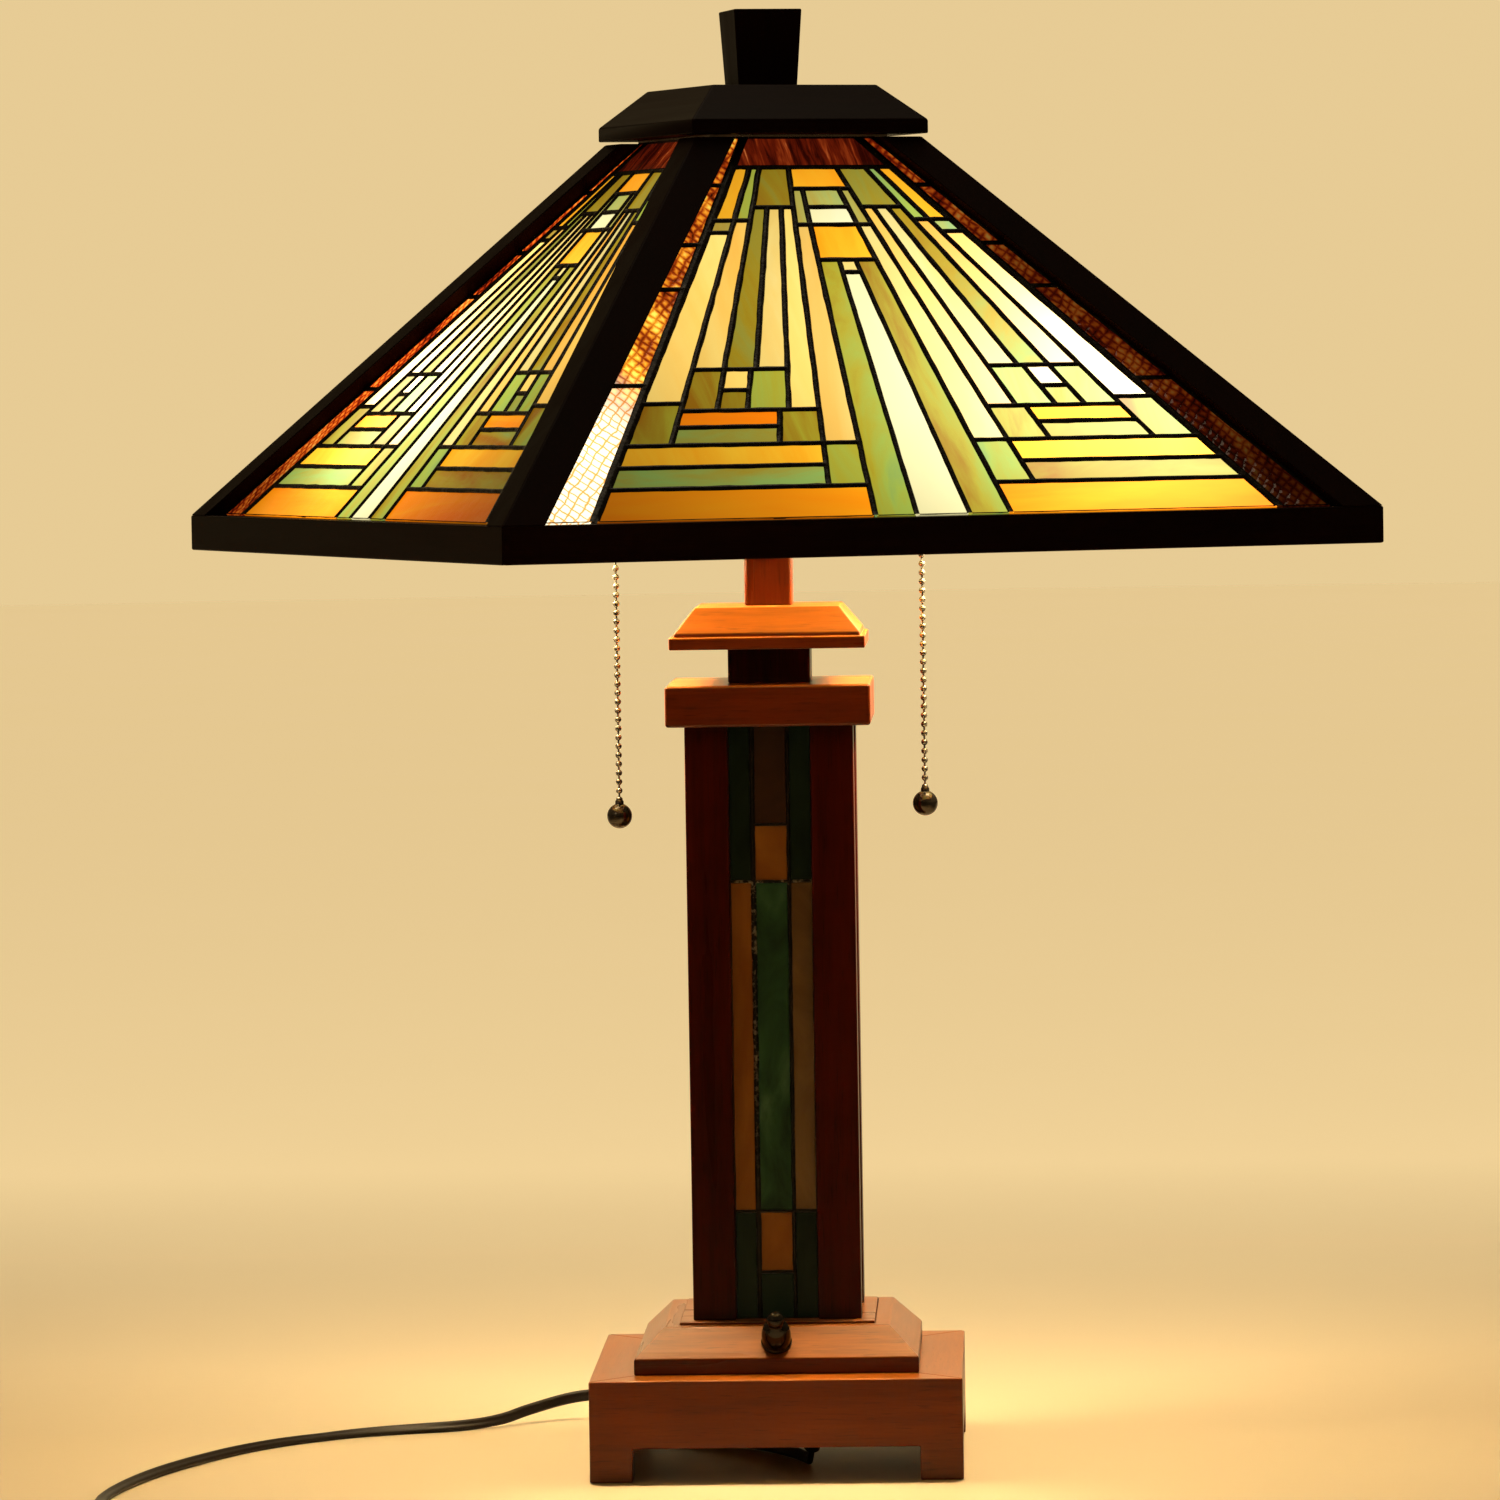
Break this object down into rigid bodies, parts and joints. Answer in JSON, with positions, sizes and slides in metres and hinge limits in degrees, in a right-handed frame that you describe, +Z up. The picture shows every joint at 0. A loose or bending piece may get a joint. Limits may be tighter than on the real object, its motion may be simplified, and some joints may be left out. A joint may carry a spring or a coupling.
{
  "type": "table lamp",
  "caption": "Table lamp with a square pyramid shade of leaded art glass, a square wood column with leaded glass panels, a stepped wood base and pull chains.",
  "frame": {"origin": "on the lamp's axis, at the underside of the feet", "axes": "+Z up; -Y is the front of the base, with the rotary switch; +X to the right seen from the front. The shade is turned 24.5 degrees about +Z"},
  "size_m": [0.6356, 0.5809, 0.686],
  "materials": {
    "stained_wood": "satin cherry stain",
    "dark_wood": "black-brown satin stain",
    "plywood": "plain sanded",
    "shade_glass": "opalescent and rippled glass in amber, cream and green, with dark lead lines",
    "column_glass": "opalescent glass in green and amber, with dark lead lines",
    "plated_steel": "zinc plated",
    "antique_brass": "antique bronze",
    "black_plastic": "gloss",
    "bulb_glass": "soft white, lit",
    "cord": "flat two-conductor lead, satin"
  },
  "bodies": {
    "root": {"base_front_board": "stained_wood", "base_right_board": "stained_wood", "base_back_board": "stained_wood", "base_left_board": "stained_wood", "step_mouldings": "stained_wood", "step_centre_board": "stained_wood", "column_post_front_left": "stained_wood", "column_post_front_right": "stained_wood", "column_post_back_right": "stained_wood", "column_post_back_left": "stained_wood", "collar_block": "stained_wood", "neck_block": "stained_wood", "upper_step": "stained_wood", "stem_block": "stained_wood", "base_deck": "plywood", "base_bottom_panel": "plywood", "corner_blocks": "plywood", "column_end_blocks": "plywood", "column_glass_front": "column_glass", "column_glass_right": "column_glass", "column_glass_back": "column_glass", "column_glass_left": "column_glass", "pipe_nuts": "plated_steel", "pipe_washers": "plated_steel", "bottom_screws": "plated_steel", "lamp_pipe": "plated_steel", "switch_nut": "plated_steel", "cluster_body": "antique_brass", "socket_left": "antique_brass", "socket_right": "antique_brass", "switch_body": "black_plastic", "night_light_socket": "black_plastic", "cord_bushing": "black_plastic", "plug": "black_plastic", "bulb_left": "bulb_glass", "bulb_right": "bulb_glass", "night_light_bulb": "bulb_glass", "cord_tube": "cord", "cord_coil": "cord"},
    "shade": {"shade_stile_front_left": "dark_wood", "shade_stile_front_right": "dark_wood", "shade_stile_back_right": "dark_wood", "shade_stile_back_left": "dark_wood", "shade_apron_front": "dark_wood", "shade_apron_right": "dark_wood", "shade_apron_back": "dark_wood", "shade_apron_left": "dark_wood", "shade_glass_front": "shade_glass", "shade_glass_right": "shade_glass", "shade_glass_back": "shade_glass", "shade_glass_left": "shade_glass", "shade_top_board": "dark_wood", "shade_plate": "plated_steel", "cap": "stained_wood"},
    "finial": {"finial": "stained_wood"},
    "knob": {"switch_knob": "black_plastic"},
    "left_switch": {"switch_chain_left": "antique_brass"},
    "right_switch": {"switch_chain_right": "antique_brass"},
    "left_chain": {"pull_chain_left": "antique_brass"},
    "right_chain": {"pull_chain_right": "antique_brass"}
  },
  "joints": [
    {"name": "shade_turn", "type": "hinge", "parent": "root", "child": "shade", "pos_m": [0, 0, 0.612], "axis": [0, 0, 1], "continuous": true},
    {"name": "finial_turn", "type": "hinge", "parent": "root", "child": "finial", "pos_m": [0, 0, 0.6494], "axis": [0, 0, 1], "continuous": true},
    {"name": "knob_turn", "type": "hinge", "parent": "root", "child": "knob", "pos_m": [0, -0.05985, 0.0617], "axis": [0, -0.7071, 0.7071], "continuous": true},
    {"name": "left_pull", "type": "slide", "parent": "root", "child": "left_switch", "axis": [0, 0, -1], "range_m": [0, 0.01], "stiffness_N_per_m": 300, "springref_m": -0.003},
    {"name": "left_swing", "type": "hinge", "parent": "left_switch", "child": "left_chain", "pos_m": [-0.0726, 0, 0.4322], "axis": [1, 0, 0], "range_deg": [-20, 20]},
    {"name": "right_pull", "type": "slide", "parent": "root", "child": "right_switch", "axis": [0, 0, -1], "range_m": [0, 0.01], "stiffness_N_per_m": 300, "springref_m": -0.003},
    {"name": "right_swing", "type": "hinge", "parent": "right_switch", "child": "right_chain", "pos_m": [0.0726, 0, 0.4322], "axis": [1, 0, 0], "range_deg": [-20, 20]}
  ]
}
